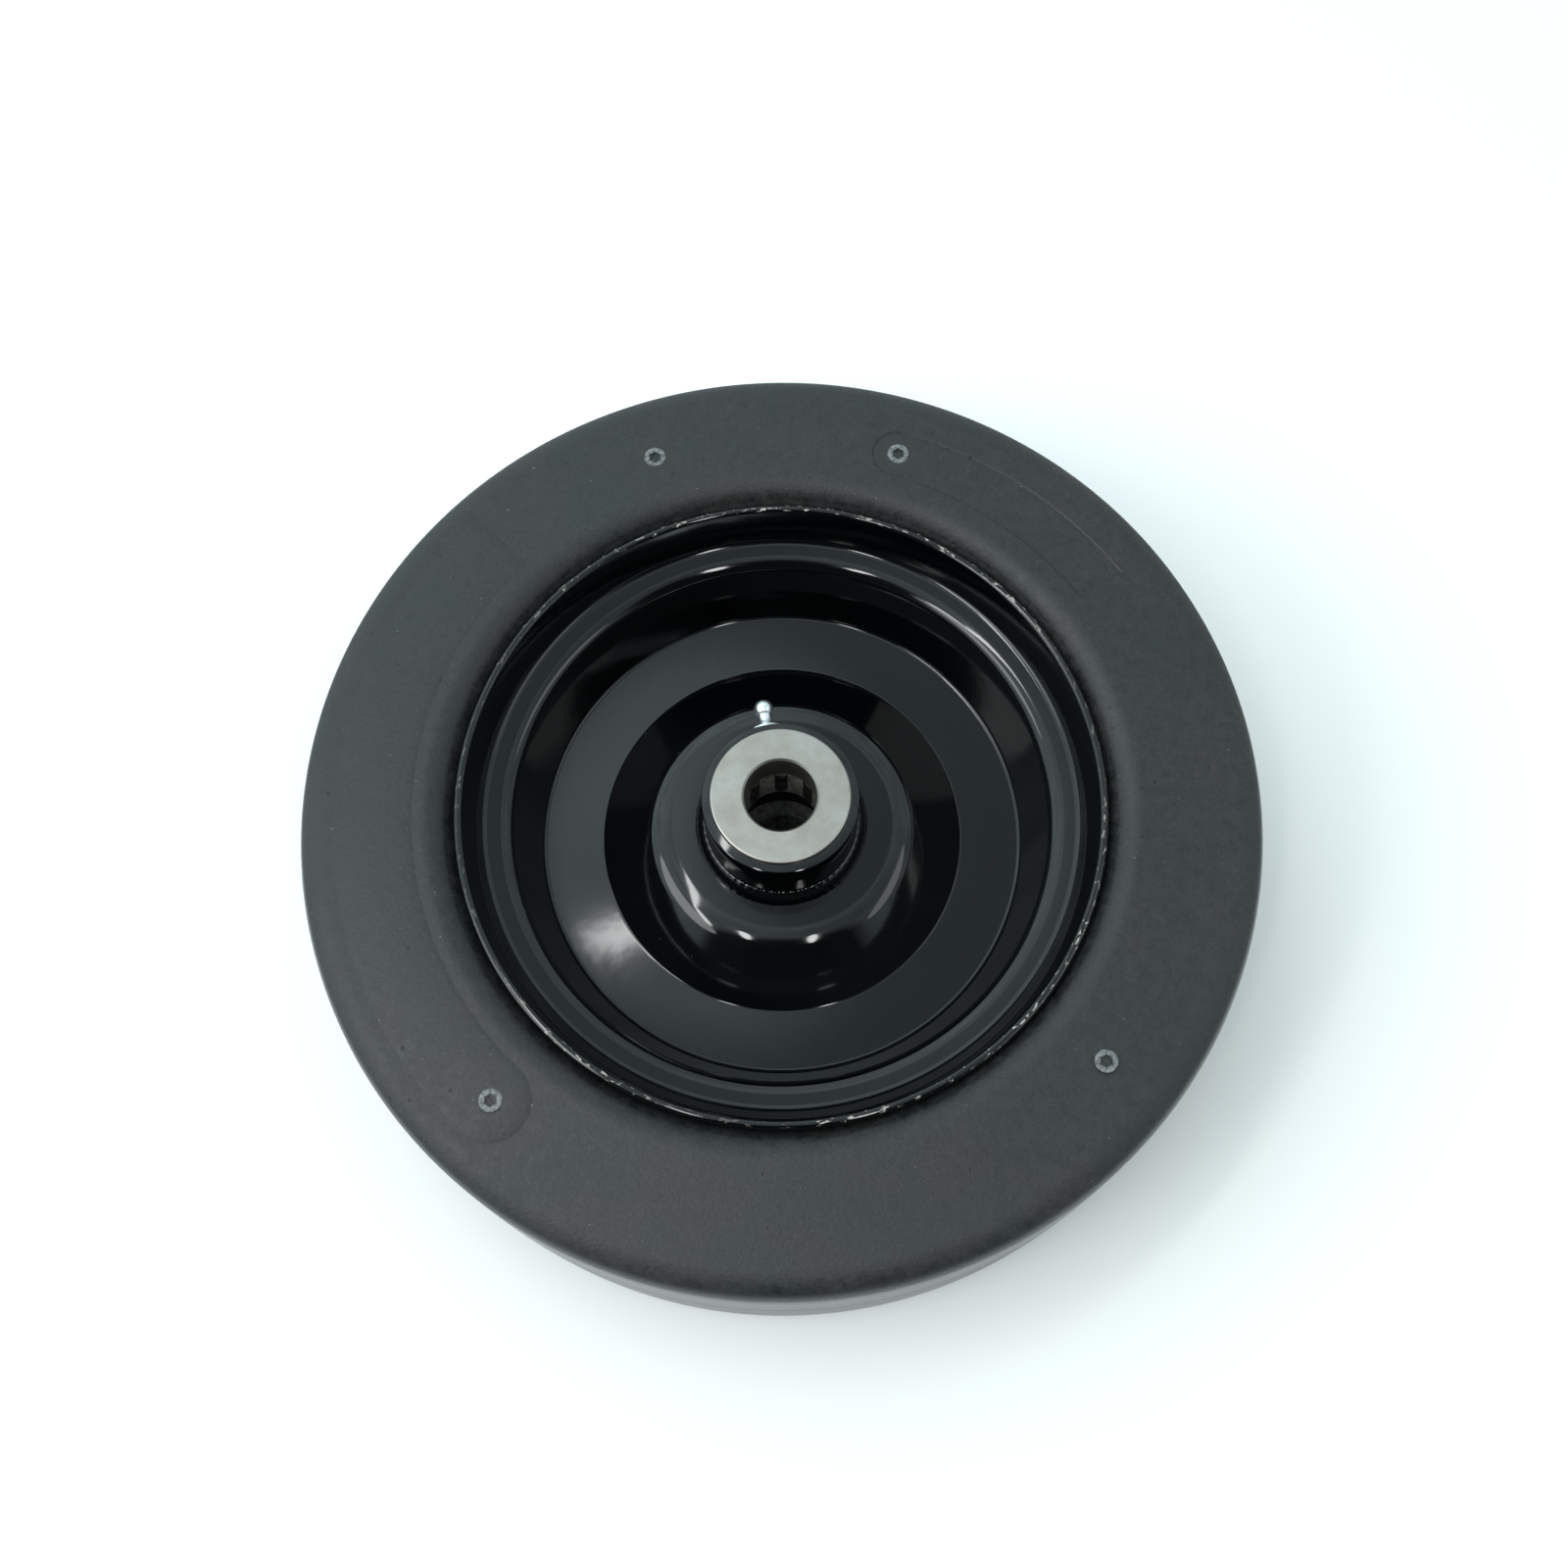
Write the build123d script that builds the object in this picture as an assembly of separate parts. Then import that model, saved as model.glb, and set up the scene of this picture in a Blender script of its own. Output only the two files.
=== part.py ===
from build123d import *
import math
import os

# Finish mower wheel: a solid moulded rubber tyre held between two pressed steel rim halves,
# which are welded to a steel hub tube. The tube carries a caged roller bearing and a flanged
# bushing at each end, and a grease fitting. The wheel lies flat: +Z is its spin axis and
# points out of the face with the grease fitting. The origin is the wheel's centre.
# All lengths are in millimetres and all angles in degrees.

# Axle and hub
axle_radius = 9.525
axle_clearance = 0.075
hub_half_length = 38.1
hub_tube_radius = 20.65
hub_tube_chamfer = 0.6
raceway_radius = 15.875
hub_waist_radius = 14.3

# Flanged bushings at the hub's ends
flange_radius = 18.4
flange_thickness = 1.9
flange_bevel = 0.5
bushing_depth = 11.4
bushing_bore_bevel = 0.5

# Caged roller bearings
roller_count = 8
roller_radius = 3.11
roller_length = 12.7
roller_chamfer = 0.3
roller_raceway_clearance = 0.015
cage_wall_inside = 0.56
cage_wall_outside = 0.66
cage_length = 15.9
pocket_clearance = 0.12
pocket_end_clearance = 0.15
cage_end_clearance = 0.25

# Pressed steel rim halves
sheet_thickness = 2.5
lip_radius = 83.9
lip_height = 34.6
lip_edge_round = 1.2
shelf_outer_radius = 79.3
shelf_outer_height = 23.9
shelf_inner_radius = 72.2
shelf_inner_height = 23.4
well_radius = 65.8
dome_foot_radius = 49.3
dome_top_radius = 33.0
plateau_from_hub_end = 23.7
rim_hole_clearance = 0.25
lip_foot_bend = 2.0
shelf_bend = 4.6
well_bend = 1.3
dome_foot_bend = 1.3
dome_top_bend = 12.0

# Fillet welds between the rim halves and the hub tube
weld_leg_up = 3.8
weld_leg_out = 2.75
weld_crown = 0.45

# Solid rubber tyre
tyre_radius = 127.0
tread_half_width = 28.4
tread_crown = 0.3
parting_groove_width = 0.9
parting_groove_depth = 0.35
shoulder_radius = 125.5
shoulder_height = 31.1
shoulder_start_radius = 118.6
shoulder_bulge = 0.62
sidewall_outer_height = 33.8
sidewall_crest_radius = 94.6
sidewall_crest_height = 36.3
bead_radius = 87.4
bead_height = 32.3
bead_bulge = 1.35
bead_foot_drop = 2.8
bead_foot_radius = 84.0
tyre_seat_radius = 77.6

# Marks that the mould's insert plates leave on the tyre's sides: a long pad that stands out,
# a short one that is sunk, and a screw head's ring and socket near each of their ends
long_pad_rise = 0.4
long_pad_inner_radius = 95.9
long_pad_outer_radius = 117.1
long_pad_half_span = 46.0
long_pad_angle = -86.5
short_pad_depth = 0.35
short_pad_inner_radius = 98.4
short_pad_outer_radius = 113.2
short_pad_half_span = 18.6
short_pad_angle = 90.6
screw_ring_outer_radius = 3.2
screw_ring_inner_radius = 2.3
screw_ring_rise = 0.25
screw_socket_radius = 1.6
screw_socket_depth = 0.4

# Grease fitting, screwed radially into the hub tube
fitting_angle = 99.0
fitting_from_hub_end = 16.2
fitting_tip_radius = 32.4
fitting_thread_radius = 3.1
fitting_thread_length = 4.0
fitting_hex_flats = 7.0
fitting_hex_height = 4.4
fitting_collar_radius = 3.3
fitting_neck_radius = 1.9
fitting_neck_from_tip = 4.4
fitting_head_radius = 2.6
fitting_head_flat = 1.6
fitting_mouth_radius = 0.75
fitting_mouth_length = 0.45
fitting_bore_radius = 1.35
grease_hole_radius = 1.5
check_ball_radius = 1.15
check_ball_clearance = 0.03
spring_wire_radius = 0.16
spring_radius = 0.95
spring_turns = 5
spring_length = 5.2

# Places that follow from the sizes above
bore_radius = axle_radius + axle_clearance
tube_half_length = hub_half_length - flange_thickness
bushing_inner_height = hub_half_length - bushing_depth
cage_top_height = bushing_inner_height - cage_end_clearance
cage_mid_height = cage_top_height - cage_length / 2
shoulder_stop_height = cage_top_height - cage_length - cage_end_clearance
roller_pitch_radius = raceway_radius - roller_raceway_clearance - roller_radius
roller_inner_radius = roller_pitch_radius - roller_radius
cage_inner_radius = roller_inner_radius + cage_wall_inside
cage_outer_radius = raceway_radius - cage_wall_outside
pocket_radius = roller_radius + pocket_clearance
pocket_length = roller_length + 2 * pocket_end_clearance
plateau_height = hub_half_length - plateau_from_hub_end
rim_hole_radius = hub_tube_radius + rim_hole_clearance
fitting_height = hub_half_length - fitting_from_hub_end


def turned(face):
    """A ring turned about the spin axis from a section drawn in radius and height."""
    return revolve(Plane.XZ * face, Axis.Z)


def flipped(piece):
    """The same piece turned over, for the wheel's other side."""
    return Rot(180, 0, 0) * piece


def rim_corners(depth):
    """Corners of the rim half's section, at a depth below the face that shows."""
    front = [
        Vector(lip_radius, lip_height),
        Vector(shelf_outer_radius, shelf_outer_height),
        Vector(shelf_inner_radius, shelf_inner_height),
        Vector(well_radius, sheet_thickness),
        Vector(dome_foot_radius, sheet_thickness),
        Vector(dome_top_radius, plateau_height),
        Vector(rim_hole_radius, plateau_height),
    ]
    runs = [(after - before).normalized() for before, after in zip(front, front[1:])]
    sides = [Vector(-run.Y, run.X) for run in runs]
    corners = [front[0] + sides[0] * depth]
    for corner, before, after in zip(front[1:-1], sides, sides[1:]):
        corners.append(corner + (before + after) * (depth / (1 + before.dot(after))))
    corners.append(front[-1] + sides[-1] * depth)
    return corners


def rim_line(depth):
    """The rim half's section line: the face that shows at depth 0, its back at full depth."""
    bends = [
        lip_foot_bend + depth,
        shelf_bend - depth,
        well_bend + depth,
        dome_foot_bend + depth,
        dome_top_bend - depth,
    ]
    return FilletPolyline(*rim_corners(depth), radius=bends)


def rim_half():
    """One pressed half of the rim, with a rounded lip edge."""
    front = rim_line(0)
    back = rim_line(sheet_thickness)
    lip = Line(front @ 0, back @ 0)
    hole = Line(front @ 1, back @ 1)
    section = make_face([*front.edges(), *back.edges(), lip, hole])
    lip_corners = section.vertices().sort_by(Axis.Y)[-2:]
    return turned(fillet(lip_corners, lip_edge_round))


def rim_cavity():
    """All that lies inside the rim half's back face, which shapes the tyre's seat."""
    back = rim_line(sheet_thickness)
    top = back @ 0
    foot = back @ 1
    closing = Polyline(
        (top.X, top.Y),
        (top.X, tyre_radius),
        (0, tyre_radius),
        (0, foot.Y),
        (foot.X, foot.Y),
    )
    return turned(make_face([*back.edges(), *closing.edges()]))


def sidewall_height(radius):
    """Height of the tyre's side, which falls evenly from its crest to its shoulder."""
    drop = sidewall_crest_height - sidewall_outer_height
    slope = drop / (shoulder_start_radius - sidewall_crest_radius)
    return sidewall_crest_height - slope * (radius - sidewall_crest_radius)


def side_layer(low, high):
    """All that lies between two heights above the slope of the tyre's side."""
    inner, outer = sidewall_crest_radius, shoulder_start_radius
    section = Polyline(
        (inner, sidewall_height(inner) + low),
        (outer, sidewall_height(outer) + low),
        (outer, sidewall_height(outer) + high),
        (inner, sidewall_height(inner) + high),
        close=True,
    )
    return turned(make_face(section))


def pad_prism(inner, outer, middle, half_span):
    """A tall prism over a mould pad: a curved slot with round ends."""
    arc = CenterArc((0, 0), (inner + outer) / 2, middle - half_span, 2 * half_span)
    return extrude(SlotArc(arc, outer - inner), amount=2 * sidewall_crest_height)


def long_pad():
    """The long pad, which stands out of the tyre's side."""
    prism = pad_prism(
        long_pad_inner_radius, long_pad_outer_radius, long_pad_angle, long_pad_half_span
    )
    return prism & side_layer(-long_pad_rise, long_pad_rise)


def short_pad():
    """The short pad, which is sunk into the tyre's side."""
    prism = pad_prism(
        short_pad_inner_radius, short_pad_outer_radius, short_pad_angle, short_pad_half_span
    )
    return prism & side_layer(-short_pad_depth, short_pad_depth)


def screw_places():
    """Where the mould's screw heads left their marks, at each end of both pads."""
    long_radius = (long_pad_inner_radius + long_pad_outer_radius) / 2
    long_level = Pos(long_radius, 0, sidewall_height(long_radius) + long_pad_rise)
    short_radius = (short_pad_inner_radius + short_pad_outer_radius) / 2
    short_level = Pos(short_radius, 0, sidewall_height(short_radius) - short_pad_depth)
    places = []
    for end in (1, -1):
        places.append(Rot(0, 0, long_pad_angle + end * long_pad_half_span) * long_level)
        places.append(Rot(0, 0, short_pad_angle + end * short_pad_half_span) * short_level)
    return places


def screw_ring():
    """The raised ring that the gap round a screw head leaves."""
    ring = Circle(screw_ring_outer_radius) - Circle(screw_ring_inner_radius)
    return extrude(ring, amount=screw_ring_rise, both=True)


def screw_socket():
    """The mark that a screw head's socket leaves."""
    return extrude(RegularPolygon(screw_socket_radius, 6), amount=screw_socket_depth, both=True)


def tyre_half_section():
    """Half of the tyre's section, from its seat round to the middle of its tread."""
    seat = Polyline(
        (tyre_seat_radius, 0),
        (tyre_seat_radius, shelf_inner_height),
        (bead_foot_radius, bead_height - bead_foot_drop),
        (bead_radius, bead_height),
    )
    crest = (sidewall_crest_radius, sidewall_crest_height)
    bead = SagittaArc((bead_radius, bead_height), crest, bead_bulge)
    side = Line(bead @ 1, (shoulder_start_radius, sidewall_outer_height))
    shoulder = SagittaArc(side @ 1, (shoulder_radius, shoulder_height), shoulder_bulge)
    tread = Polyline(
        (shoulder_radius, shoulder_height),
        (tyre_radius - tread_crown, tread_half_width),
        (tyre_radius, parting_groove_width / 2),
        (tyre_radius - parting_groove_depth, 0),
        (tyre_seat_radius, 0),
    )
    return make_face([*seat.edges(), bead, side, shoulder, *tread.edges()])


def tyre():
    """The solid tyre, seated between the two rim halves, with its marks on both sides."""
    half = turned(tyre_half_section())
    half = half + long_pad() - short_pad()
    for place in screw_places():
        half = half + place * screw_ring() - place * screw_socket()
    half -= rim_cavity()
    return half + flipped(half)


def fitting_place():
    """The grease fitting's own axis, pointing out of the hub tube from its wall."""
    angle = math.radians(fitting_angle)
    outward = Vector(math.cos(angle), math.sin(angle), 0)
    foot = outward * hub_tube_radius + Vector(0, 0, fitting_height)
    return Plane(origin=foot, x_dir=(0, 0, 1), z_dir=outward)


def hub_tube():
    """The hub tube, with a raceway at each end, a narrower waist and the fitting's hole."""
    body = Cylinder(hub_tube_radius, 2 * tube_half_length)
    body = chamfer(body.edges().filter_by(GeomType.CIRCLE), hub_tube_chamfer)
    body -= Cylinder(hub_waist_radius, 2 * tube_half_length)
    for side in (1, -1):
        depth = tube_half_length - shoulder_stop_height
        body -= Pos(0, 0, side * (tube_half_length - depth / 2)) * Cylinder(raceway_radius, depth)
    inward = (Align.CENTER, Align.CENTER, Align.MAX)
    body -= fitting_place() * Cylinder(fitting_thread_radius, 2 * fitting_thread_length)
    body -= fitting_place() * Cylinder(grease_hole_radius, hub_tube_radius, align=inward)
    return body


def hub_weld():
    """A ring of fillet weld on the rim half's plateau, against the hub tube."""
    toe_up = (hub_tube_radius, plateau_height + weld_leg_up)
    toe_out = (hub_tube_radius + weld_leg_out, plateau_height)
    crown = SagittaArc(toe_up, toe_out, weld_crown)
    root = (hub_tube_radius, plateau_height)
    return turned(make_face([crown, Line(toe_out, root), Line(root, toe_up)]))


def end_bushing():
    """A flanged bushing: its flange is the hub's end face, its spigot fills the raceway."""
    flange_height = tube_half_length + flange_thickness / 2
    spigot_length = bushing_depth - flange_thickness
    flange = Pos(0, 0, flange_height) * Cylinder(flange_radius, flange_thickness)
    outer_edge = flange.edges().filter_by(GeomType.CIRCLE).sort_by(Axis.Z)[-1]
    flange = chamfer(outer_edge, flange_bevel)
    spigot = Pos(0, 0, tube_half_length - spigot_length / 2) * Cylinder(raceway_radius, spigot_length)
    body = flange + spigot
    body -= Pos(0, 0, tube_half_length) * Cylinder(bore_radius, 2 * bushing_depth)
    mouths = body.edges().filter_by(GeomType.CIRCLE).filter_by(lambda edge: edge.radius < axle_radius + 1)
    return chamfer(mouths, bushing_bore_bevel)


def roller_places():
    """Where the front bearing's rollers stand."""
    step = 360 / roller_count
    stand = Pos(roller_pitch_radius, 0, cage_mid_height)
    return [Rot(0, 0, index * step) * stand for index in range(roller_count)]


def bearing_cage():
    """The bearing's cage: a sleeve with a round pocket for each roller."""
    sleeve = Cylinder(cage_outer_radius, cage_length) - Cylinder(cage_inner_radius, cage_length)
    sleeve = Pos(0, 0, cage_mid_height) * sleeve
    pocket = Cylinder(pocket_radius, pocket_length)
    for place in roller_places():
        sleeve -= place * pocket
    return sleeve


def roller():
    """One bearing roller with broken edges."""
    body = Cylinder(roller_radius, roller_length)
    return chamfer(body.edges().filter_by(GeomType.CIRCLE), roller_chamfer)


def fitting_tip():
    """Height of the grease fitting's tip above the hub tube's wall."""
    return fitting_tip_radius - hub_tube_radius


def ball_height():
    """Height of the check ball's centre when it closes the fitting's mouth."""
    seat = fitting_tip() - fitting_mouth_length
    reach = check_ball_radius + check_ball_clearance
    return seat - math.sqrt(reach ** 2 - fitting_mouth_radius ** 2)


def fitting_outline():
    """The fitting's turned section: thread, collar, hollow flare, neck and ball-shaped head."""
    tip = fitting_tip()
    neck = tip - fitting_neck_from_tip
    head_middle = tip - math.sqrt(fitting_head_radius ** 2 - fitting_head_flat ** 2)
    head_foot = head_middle - math.sqrt(fitting_head_radius ** 2 - fitting_neck_radius ** 2)
    collar = Polyline(
        (0, -fitting_thread_length),
        (fitting_thread_radius, -fitting_thread_length),
        (fitting_thread_radius, 0),
        (fitting_collar_radius, 0),
        (fitting_collar_radius, fitting_hex_height),
    )
    flare = TangentArc((fitting_neck_radius, neck), collar @ 1, tangent=(0, -1))
    rise = Line((fitting_neck_radius, neck), (fitting_neck_radius, head_foot))
    head = ThreePointArc(rise @ 1, (fitting_head_radius, head_middle), (fitting_head_flat, tip))
    closing = Polyline((fitting_head_flat, tip), (0, tip), (0, -fitting_thread_length))
    return make_face([*collar.edges(), flare, rise, head, *closing.edges()])


def grease_fitting():
    """The fitting's body, with a hexagon and a stepped bore for the check ball and its spring."""
    body = turned(fitting_outline())
    flats_up = 30
    hexagon = RegularPolygon(fitting_hex_flats / 2, 6, major_radius=False, rotation=flats_up)
    body += extrude(hexagon, amount=fitting_hex_height)
    seat = fitting_tip() - fitting_mouth_length
    bore_length = seat + fitting_thread_length
    body -= Pos(0, 0, seat - bore_length / 2) * Cylinder(fitting_bore_radius, bore_length)
    body -= Pos(0, 0, seat) * Cylinder(fitting_mouth_radius, 2 * fitting_mouth_length)
    return fitting_place() * body


def grease_fitting_ball():
    """The steel ball that closes the fitting's mouth."""
    return fitting_place() * Pos(0, 0, ball_height()) * Sphere(check_ball_radius)


def grease_fitting_spring():
    """The small coil spring that holds the ball against the fitting's mouth."""
    top = ball_height() - check_ball_radius - spring_wire_radius
    foot = top - spring_length
    path = Helix(spring_length / spring_turns, spring_length, spring_radius)
    start = Plane(origin=path @ 0, z_dir=path % 0)
    wire = sweep(start * Circle(spring_wire_radius), path=path, is_frenet=True)
    return fitting_place() * Pos(0, 0, foot) * wire


def write(shape, node):
    """Write one node's solids to its own file."""
    export_step(shape, f"parts/{node}.step")


os.makedirs("parts", exist_ok=True)
write(tyre(), "tyre")
write(hub_tube(), "hub_tube")
for side_name, turn_over in (("front", False), ("rear", True)):
    pieces = {
        f"rim_half_{side_name}": rim_half(),
        f"hub_weld_{side_name}": hub_weld(),
        f"end_bushing_{side_name}": end_bushing(),
        f"bearing_cage_{side_name}": bearing_cage(),
    }
    for number, place in enumerate(roller_places(), start=1):
        pieces[f"bearing_roller_{side_name}_{number}"] = place * roller()
    for node, piece in pieces.items():
        write(flipped(piece) if turn_over else piece, node)
write(grease_fitting(), "grease_fitting")
write(grease_fitting_ball(), "grease_fitting_ball")
write(grease_fitting_spring(), "grease_fitting_spring")
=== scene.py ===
import bpy
import math
from mathutils import Matrix, Vector


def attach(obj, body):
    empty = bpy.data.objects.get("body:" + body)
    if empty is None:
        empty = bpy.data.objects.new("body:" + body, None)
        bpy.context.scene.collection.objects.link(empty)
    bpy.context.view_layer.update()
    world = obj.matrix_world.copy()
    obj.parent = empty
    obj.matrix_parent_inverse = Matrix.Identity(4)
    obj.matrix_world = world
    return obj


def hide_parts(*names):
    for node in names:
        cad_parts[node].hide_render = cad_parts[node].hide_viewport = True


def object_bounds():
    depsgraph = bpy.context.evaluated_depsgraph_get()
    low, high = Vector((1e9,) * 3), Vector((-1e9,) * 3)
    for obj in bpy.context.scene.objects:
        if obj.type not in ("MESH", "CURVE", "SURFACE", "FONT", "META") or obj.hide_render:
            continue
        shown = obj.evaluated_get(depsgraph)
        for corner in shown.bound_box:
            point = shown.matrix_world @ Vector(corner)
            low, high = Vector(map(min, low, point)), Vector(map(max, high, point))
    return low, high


# The wheel: a solid rubber tyre on a two-piece pressed steel rim, welded to a steel hub
# tube that runs on caged rollers. It lies on its hub's end ring, face up, as photographed.
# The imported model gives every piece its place, and all outlines below repeat its sizes.
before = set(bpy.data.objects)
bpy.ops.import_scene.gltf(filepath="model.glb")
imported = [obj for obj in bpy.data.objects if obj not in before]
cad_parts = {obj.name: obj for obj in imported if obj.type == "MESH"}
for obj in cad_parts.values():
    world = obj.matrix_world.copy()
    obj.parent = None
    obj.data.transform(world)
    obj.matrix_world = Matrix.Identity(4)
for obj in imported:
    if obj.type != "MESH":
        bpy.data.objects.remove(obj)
cad_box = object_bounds()
MM = 0.001
WHEEL = "wheel"


# Tyre: one solid ring of black rubber, moulded in two mould halves that meet on the
# tread's middle. Plates screwed into the mould leave a long raised pad and a short sunk one.
TYRE_RADIUS = 127.0
TREAD_HALF_WIDTH = 28.4
TREAD_CROWN = 0.3
TREAD_EDGE_ROUND = 0.35
PARTING_HALF_WIDTH = 0.45
PARTING_DEPTH = 0.35
SHOULDER = (125.5, 31.1)
SHOULDER_START = (118.6, 33.8)
SHOULDER_BULGE = 0.62
SIDE_CREST = (94.6, 36.3)
BEAD = (87.4, 32.3)
BEAD_BULGE = 1.35
BEAD_FOOT = (84.8, 30.1)
SEAT_UNDER_LIP = (82.4, 24.2)
SEAT_UNDER_SHELF = (80.4, 21.7)
SEAT_RADIUS = 77.6
SEAT_HEIGHT = 21.1
TYRE_STEPS = 240
LONG_PAD = (95.9, 117.1, -86.5, 46.0)
LONG_PAD_RISE = 0.4
LONG_PAD_EDGE = 1.7
SHORT_PAD = (98.4, 113.2, 90.6, 18.6)
SHORT_PAD_DEPTH = 0.35
SHORT_PAD_EDGE = 0.5
SCREW_HEAD_RADIUS = 3.1
SCREW_HEAD_RISE = 0.25
SCREW_STAR_RADIUS = 2.0
SCREW_STAR_DEPTH = 0.6


def bulged(start, end, bulge, count):
    """Points along an arc between two places, which bulges to the right of the way between them."""
    start, end = Vector(start), Vector(end)
    chord = end - start
    half = chord.length / 2
    radius = (half ** 2 + bulge ** 2) / (2 * bulge)
    right = Vector((chord.y, -chord.x)).normalized()
    centre = (start + end) / 2 + right * (bulge - radius)
    first = math.atan2(*(start - centre).yx)
    sweep = math.remainder(math.atan2(*(end - centre).yx) - first, 2 * math.pi)
    turns = [first + sweep * step / count for step in range(count + 1)]
    return [(centre.x + radius * math.cos(turn), centre.y + radius * math.sin(turn)) for turn in turns]


def only(piece):
    """Leave a piece as the only one selected, and the active one."""
    bpy.ops.object.select_all(action="DESELECT")
    piece.select_set(True)
    bpy.context.view_layer.objects.active = piece


def settle(piece):
    """Bring a piece's place and turn into its mesh, so that its object sits at the origin."""
    piece.data.transform(piece.matrix_basis)
    piece.matrix_basis = Matrix.Identity(4)


def path(name, points):
    """A piece that is a line of edges through places in millimetres, left in edit mode."""
    bpy.ops.object.select_all(action="DESELECT")
    bpy.ops.mesh.primitive_plane_add(size=MM)
    piece = bpy.context.object
    piece.name = name
    bpy.ops.object.mode_set(mode="EDIT")
    bpy.ops.mesh.merge(type="CENTER")
    bpy.ops.transform.translate(value=Vector(points[0]) * MM)
    for before, after in zip(points, points[1:]):
        move = (Vector(after) - Vector(before)) * MM
        bpy.ops.mesh.extrude_region_move(TRANSFORM_OT_translate={"value": move})
    bpy.ops.mesh.select_all(action="SELECT")
    return piece


def pick(piece, wanted):
    """Open a piece in edit mode, with only those points selected whose place is wanted."""
    only(piece)
    bpy.ops.object.mode_set(mode="EDIT")
    bpy.ops.mesh.select_mode(type="VERT")
    bpy.ops.mesh.select_all(action="DESELECT")
    bpy.ops.object.mode_set(mode="OBJECT")
    for vertex in piece.data.vertices:
        vertex.select = wanted(vertex.co)
    bpy.ops.object.mode_set(mode="EDIT")


def clean_edit():
    """Merge doubled points, turn all faces outwards and leave edit mode."""
    bpy.ops.mesh.select_all(action="SELECT")
    bpy.ops.mesh.remove_doubles(threshold=0.002 * MM)
    bpy.ops.mesh.normals_make_consistent(inside=False)
    bpy.ops.object.mode_set(mode="OBJECT")


def turned(name, outline, steps, closed=True):
    """A piece turned like a ring from its outline of radius and height."""
    outline = outline + outline[:1] if closed else outline
    piece = path(name, [(radius, 0, height) for radius, height in outline])
    bpy.ops.mesh.spin(steps=steps, angle=2 * math.pi, center=(0, 0, 0), axis=(0, 0, 1))
    clean_edit()
    return piece


def smooth(piece, degrees):
    """Shade a piece smooth, except where two faces meet at a sharper angle."""
    only(piece)
    bpy.ops.object.shade_smooth_by_angle(angle=math.radians(degrees))


def apply_modifier(piece, kind, **settings):
    """Add one modifier to a piece and apply it at once."""
    only(piece)
    modifier = piece.modifiers.new(kind.lower(), kind)
    for name, value in settings.items():
        setattr(modifier, name, value)
    bpy.ops.object.modifier_apply(modifier=modifier.name)


def join(pieces):
    """Join several pieces into the first one."""
    bpy.ops.object.select_all(action="DESELECT")
    for piece in pieces:
        piece.select_set(True)
    bpy.context.view_layer.objects.active = pieces[0]
    bpy.ops.object.join()
    return pieces[0]


def cut(piece, tool):
    """Cut a tool's shape out of a piece, and remove the tool."""
    apply_modifier(piece, "BOOLEAN", operation="DIFFERENCE", solver="EXACT", object=tool)
    bpy.data.objects.remove(tool)


def linear(code):
    """A colour written as sRGB hex, turned to the linear values that shaders take."""
    parts = [int(code[place:place + 2], 16) / 255 for place in (1, 3, 5)]
    return tuple(part / 12.92 if part <= 0.04045 else ((part + 0.055) / 1.055) ** 2.4 for part in parts) + (1,)


def add(tree, kind, inputs=None, **settings):
    """Add one node with its settings; an input is a value or another node's output."""
    node = tree.nodes.new(kind)
    for name, value in settings.items():
        setattr(node, name, value)
    for socket, value in (inputs or {}).items():
        if isinstance(value, bpy.types.NodeSocket):
            tree.links.new(value, node.inputs[socket])
        else:
            node.inputs[socket].default_value = value
    return node


def noise(tree, place, size, detail=3, roughness=0.6):
    """Cloudy noise whose features are a size in millimetres."""
    inputs = {"Vector": place, "Scale": 1 / (size * MM), "Detail": detail, "Roughness": roughness}
    return add(tree, "ShaderNodeTexNoise", inputs).outputs["Fac"]


def spots(tree, place, spacing, inner, outer):
    """Small round spots: full inside one distance and none outside another, in millimetres."""
    inputs = {"Vector": place, "Scale": 1 / (spacing * MM)}
    cells = add(tree, "ShaderNodeTexVoronoi", inputs).outputs["Distance"]
    return span(tree, cells, inner / spacing, outer / spacing, 1.0, 0.0)


def span(tree, value, low, high, start, end):
    """A value stretched from one range to another, and held within it."""
    inputs = {"Value": value, "From Min": low, "From Max": high, "To Min": start, "To Max": end}
    return add(tree, "ShaderNodeMapRange", inputs).outputs["Result"]


def mix(tree, factor, first, second):
    """A colour between two others."""
    inputs = {"Factor": factor, "A": first, "B": second}
    return add(tree, "ShaderNodeMix", inputs, data_type="RGBA").outputs["Result"]


def sum_of(tree, operation, first, second):
    """Two values joined by an operation."""
    return add(tree, "ShaderNodeMath", {0: first, 1: second}, operation=operation).outputs[0]


def material(name):
    """A new material with its shader, and the object coordinates its patterns use."""
    made = bpy.data.materials.new(name)
    made.use_nodes = True
    tree = made.node_tree
    place = add(tree, "ShaderNodeTexCoord").outputs["Object"]
    return made, tree, tree.nodes["Principled BSDF"], place


def from_axis(tree, place):
    """Distance from the wheel's axis."""
    flat = add(tree, "ShaderNodeVectorMath", {0: place, 1: (1, 1, 0)}, operation="MULTIPLY").outputs[0]
    return add(tree, "ShaderNodeVectorMath", {0: flat}, operation="LENGTH").outputs["Value"]


def finish(piece, made, slot, *nodes):
    """Give a piece its material and body, and let it stand for the nodes that it replaces."""
    piece.data.materials.clear()
    piece.data.materials.append(made)
    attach(piece, WHEEL)
    if nodes:
        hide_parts(*nodes)


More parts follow.
